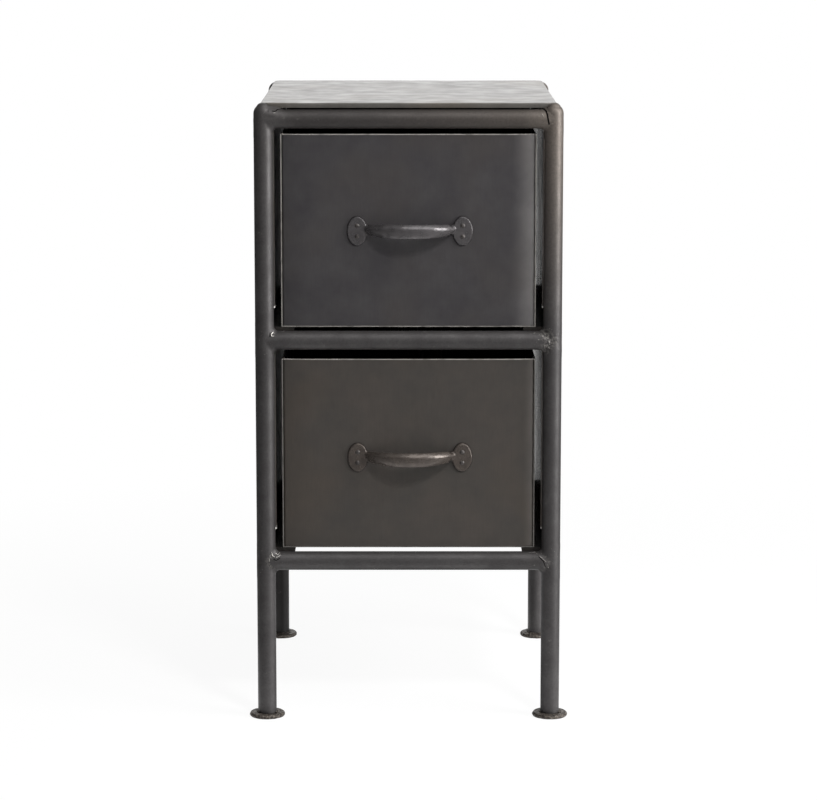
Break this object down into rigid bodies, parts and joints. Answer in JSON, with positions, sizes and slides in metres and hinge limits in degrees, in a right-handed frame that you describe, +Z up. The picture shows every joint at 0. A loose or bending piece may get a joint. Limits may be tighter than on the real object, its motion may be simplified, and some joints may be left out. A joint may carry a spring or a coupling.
{
  "type": "drawer cabinet",
  "caption": "Small metal drawer cabinet: stacked open-top sheet-steel drawers with bow pulls in a welded round-tube frame on legs with foot discs.",
  "frame": {"origin": "on the floor, under the middle of the cabinet's box, pulls included", "axes": "+Z up, the drawers open towards -Y, +X to the right when facing the drawers"},
  "size_m": [0.342, 0.405, 0.659],
  "materials": {
    "tube_steel": "blackened steel tube, waxed, satin",
    "sheet_steel": "blackened sheet steel, waxed, satin, cloudy",
    "angle_iron": "blackened angle iron, matt",
    "forged_iron": "forged, hammered and waxed, satin"
  },
  "bodies": {
    "frame": {"leg_front_left": "tube_steel", "leg_front_right": "tube_steel", "leg_rear_left": "tube_steel", "leg_rear_right": "tube_steel", "foot_front_left": "forged_iron", "foot_front_right": "forged_iron", "foot_rear_left": "forged_iron", "foot_rear_right": "forged_iron", "rail_front_top": "tube_steel", "rail_front_middle": "tube_steel", "rail_front_bottom": "tube_steel", "rail_rear_top": "tube_steel", "rail_rear_middle": "tube_steel", "rail_rear_bottom": "tube_steel", "rail_side_left": "tube_steel", "rail_side_right": "tube_steel", "runner_upper_left": "angle_iron", "runner_upper_right": "angle_iron", "runner_lower_left": "angle_iron", "runner_lower_right": "angle_iron", "plate_upper_left": "sheet_steel", "plate_upper_right": "sheet_steel", "plate_lower_left": "sheet_steel", "plate_lower_right": "sheet_steel", "back_sheet": "sheet_steel", "top_sheet": "sheet_steel"},
    "upper_drawer": {"upper_drawer_front": "sheet_steel", "upper_drawer_left": "sheet_steel", "upper_drawer_right": "sheet_steel", "upper_drawer_back": "sheet_steel", "upper_drawer_bottom": "sheet_steel", "upper_drawer_pull": "forged_iron", "upper_drawer_rivets": "forged_iron"},
    "lower_drawer": {"lower_drawer_front": "sheet_steel", "lower_drawer_left": "sheet_steel", "lower_drawer_right": "sheet_steel", "lower_drawer_back": "sheet_steel", "lower_drawer_bottom": "sheet_steel", "lower_drawer_pull": "forged_iron", "lower_drawer_rivets": "forged_iron"}
  },
  "joints": [
    {"name": "upper_drawer_slide", "type": "slide", "parent": "frame", "child": "upper_drawer", "axis": [0, -1, 0], "range_m": [0, 0.26]},
    {"name": "lower_drawer_slide", "type": "slide", "parent": "frame", "child": "lower_drawer", "axis": [0, -1, 0], "range_m": [0, 0.26]}
  ]
}
